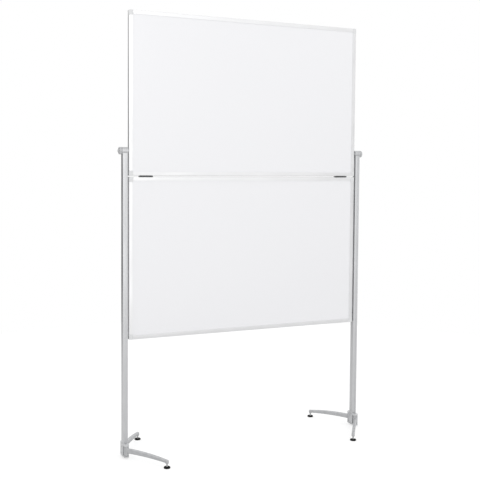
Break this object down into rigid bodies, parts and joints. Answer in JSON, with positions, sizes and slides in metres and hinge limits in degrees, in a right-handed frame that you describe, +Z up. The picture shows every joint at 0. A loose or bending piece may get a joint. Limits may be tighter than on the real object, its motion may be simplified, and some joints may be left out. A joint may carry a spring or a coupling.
{
  "type": "folding whiteboard",
  "caption": "Two-panel folding whiteboard in an aluminium frame, clamped between slim posts with fold-in legs on round levelling feet.",
  "frame": {"origin": "on the floor, at the middle of the object's footprint", "axes": "+X to the right along the board seen from the front, -Y to the front, +Z up"},
  "size_m": [1.3, 0.4612, 2.052],
  "materials": {
    "post_aluminium": "satin anodised",
    "frame_aluminium": "satin anodised",
    "corner_plastic": "fine satin",
    "writing_enamel": "glossy white enamel",
    "core_board": "matte",
    "clamp_casting": "satin",
    "bracket_casting": "satin",
    "leg_casting": "satin",
    "foot_rubber": "matte black",
    "zinc_steel": "bright zinc plated",
    "hinge_steel": "dark grey",
    "plug_plastic": "matte",
    "knob_plastic": "light grey moulded"
  },
  "bodies": {
    "stand": {"left_post": "post_aluminium", "right_post": "post_aluminium", "left_post_plug": "plug_plastic", "right_post_plug": "plug_plastic", "left_clamp_cap": "clamp_casting", "right_clamp_cap": "clamp_casting", "left_spacer": "zinc_steel", "right_spacer": "zinc_steel", "left_base_bracket": "bracket_casting", "right_base_bracket": "bracket_casting", "base_screws": "zinc_steel", "leg_pins": "zinc_steel", "left_clip": "clamp_casting", "right_clip": "clamp_casting", "clip_screws": "zinc_steel"},
    "upper_panel": {"upper_front_sheet": "writing_enamel", "upper_back_sheet": "writing_enamel", "upper_core": "core_board", "upper_top_rail": "frame_aluminium", "upper_bottom_rail": "frame_aluminium", "upper_left_rail": "frame_aluminium", "upper_right_rail": "frame_aluminium", "upper_corner_caps": "corner_plastic", "clamp_inserts": "zinc_steel", "upper_hinge_leaves": "hinge_steel", "hinge_pins": "zinc_steel", "upper_hinge_screws": "zinc_steel"},
    "lower_panel": {"lower_front_sheet": "writing_enamel", "lower_back_sheet": "writing_enamel", "lower_core": "core_board", "lower_top_rail": "frame_aluminium", "lower_bottom_rail": "frame_aluminium", "lower_left_rail": "frame_aluminium", "lower_right_rail": "frame_aluminium", "lower_corner_caps": "corner_plastic", "side_studs": "zinc_steel", "lower_hinge_leaves": "hinge_steel", "lower_hinge_screws": "zinc_steel"},
    "left_clamp_washer": {"left_clamp_washer": "zinc_steel"},
    "left_clamp_knob": {"left_clamp_bolt": "zinc_steel", "left_knob": "knob_plastic"},
    "right_clamp_washer": {"right_clamp_washer": "zinc_steel"},
    "right_clamp_knob": {"right_clamp_bolt": "zinc_steel", "right_knob": "knob_plastic"},
    "left_front_leg": {"left_front_leg": "leg_casting"},
    "left_front_pad": {"left_front_pad": "foot_rubber"},
    "left_front_stud": {"left_front_stud": "zinc_steel"},
    "left_back_leg": {"left_back_leg": "leg_casting"},
    "left_back_pad": {"left_back_pad": "foot_rubber"},
    "left_back_stud": {"left_back_stud": "zinc_steel"},
    "right_front_leg": {"right_front_leg": "leg_casting"},
    "right_front_pad": {"right_front_pad": "foot_rubber"},
    "right_front_stud": {"right_front_stud": "zinc_steel"},
    "right_back_leg": {"right_back_leg": "leg_casting"},
    "right_back_pad": {"right_back_pad": "foot_rubber"},
    "right_back_stud": {"right_back_stud": "zinc_steel"}
  },
  "joints": [
    {"name": "board_tilt", "type": "hinge", "parent": "stand", "child": "upper_panel", "pos_m": [0, 0, 1.416], "axis": [-1, 0, 0], "range_deg": [0, 30]},
    {"name": "panel_fold", "type": "hinge", "parent": "upper_panel", "child": "lower_panel", "pos_m": [0, -0.0137, 1.3], "axis": [-1, 0, 0], "range_deg": [0, 180]},
    {"name": "left_clamp_travel", "type": "slide", "parent": "stand", "child": "left_clamp_washer", "axis": [-1, 0, 0], "range_m": [0, 0.0025]},
    {"name": "left_knob_turn", "type": "hinge", "parent": "left_clamp_washer", "child": "left_clamp_knob", "pos_m": [-0.64, 0, 1.416], "axis": [-1, 0, 0], "range_deg": [0, 720]},
    {"name": "right_clamp_travel", "type": "slide", "parent": "stand", "child": "right_clamp_washer", "axis": [1, 0, 0], "range_m": [0, 0.0025]},
    {"name": "right_knob_turn", "type": "hinge", "parent": "right_clamp_washer", "child": "right_clamp_knob", "pos_m": [0.64, 0, 1.416], "axis": [1, 0, 0], "range_deg": [0, 720]},
    {"name": "left_front_leg_swing", "type": "hinge", "parent": "stand", "child": "left_front_leg", "pos_m": [-0.618, -0.028, 0.032], "axis": [0, 0, 1], "range_deg": [0, 55]},
    {"name": "left_front_foot_height", "type": "slide", "parent": "left_front_leg", "child": "left_front_pad", "axis": [0, 0, -1], "range_m": [-0.004, 0.006]},
    {"name": "left_front_foot_turn", "type": "hinge", "parent": "left_front_pad", "child": "left_front_stud", "pos_m": [-0.48665, -0.21559, 0.015], "axis": [0, 0, -1], "range_deg": [-1152, 1728]},
    {"name": "left_back_leg_swing", "type": "hinge", "parent": "stand", "child": "left_back_leg", "pos_m": [-0.618, 0.028, 0.032], "axis": [0, 0, -1], "range_deg": [0, 55]},
    {"name": "left_back_foot_height", "type": "slide", "parent": "left_back_leg", "child": "left_back_pad", "axis": [0, 0, -1], "range_m": [-0.004, 0.006]},
    {"name": "left_back_foot_turn", "type": "hinge", "parent": "left_back_pad", "child": "left_back_stud", "pos_m": [-0.48665, 0.21559, 0.015], "axis": [0, 0, -1], "range_deg": [-1152, 1728]},
    {"name": "right_front_leg_swing", "type": "hinge", "parent": "stand", "child": "right_front_leg", "pos_m": [0.618, -0.028, 0.032], "axis": [0, 0, -1], "range_deg": [0, 55]},
    {"name": "right_front_foot_height", "type": "slide", "parent": "right_front_leg", "child": "right_front_pad", "axis": [0, 0, -1], "range_m": [-0.004, 0.006]},
    {"name": "right_front_foot_turn", "type": "hinge", "parent": "right_front_pad", "child": "right_front_stud", "pos_m": [0.48665, -0.21559, 0.015], "axis": [0, 0, -1], "range_deg": [-1152, 1728]},
    {"name": "right_back_leg_swing", "type": "hinge", "parent": "stand", "child": "right_back_leg", "pos_m": [0.618, 0.028, 0.032], "axis": [0, 0, 1], "range_deg": [0, 55]},
    {"name": "right_back_foot_height", "type": "slide", "parent": "right_back_leg", "child": "right_back_pad", "axis": [0, 0, -1], "range_m": [-0.004, 0.006]},
    {"name": "right_back_foot_turn", "type": "hinge", "parent": "right_back_pad", "child": "right_back_stud", "pos_m": [0.48665, 0.21559, 0.015], "axis": [0, 0, -1], "range_deg": [-1152, 1728]}
  ],
  "couplings": [
    {"joint": "left_knob_turn", "follows": "left_clamp_travel", "rad_per_m": 5026.5},
    {"joint": "right_knob_turn", "follows": "right_clamp_travel", "rad_per_m": 5026.5},
    {"joint": "left_front_foot_turn", "follows": "left_front_foot_height", "rad_per_m": 5026.5},
    {"joint": "left_back_foot_turn", "follows": "left_back_foot_height", "rad_per_m": 5026.5},
    {"joint": "right_front_foot_turn", "follows": "right_front_foot_height", "rad_per_m": 5026.5},
    {"joint": "right_back_foot_turn", "follows": "right_back_foot_height", "rad_per_m": 5026.5}
  ]
}
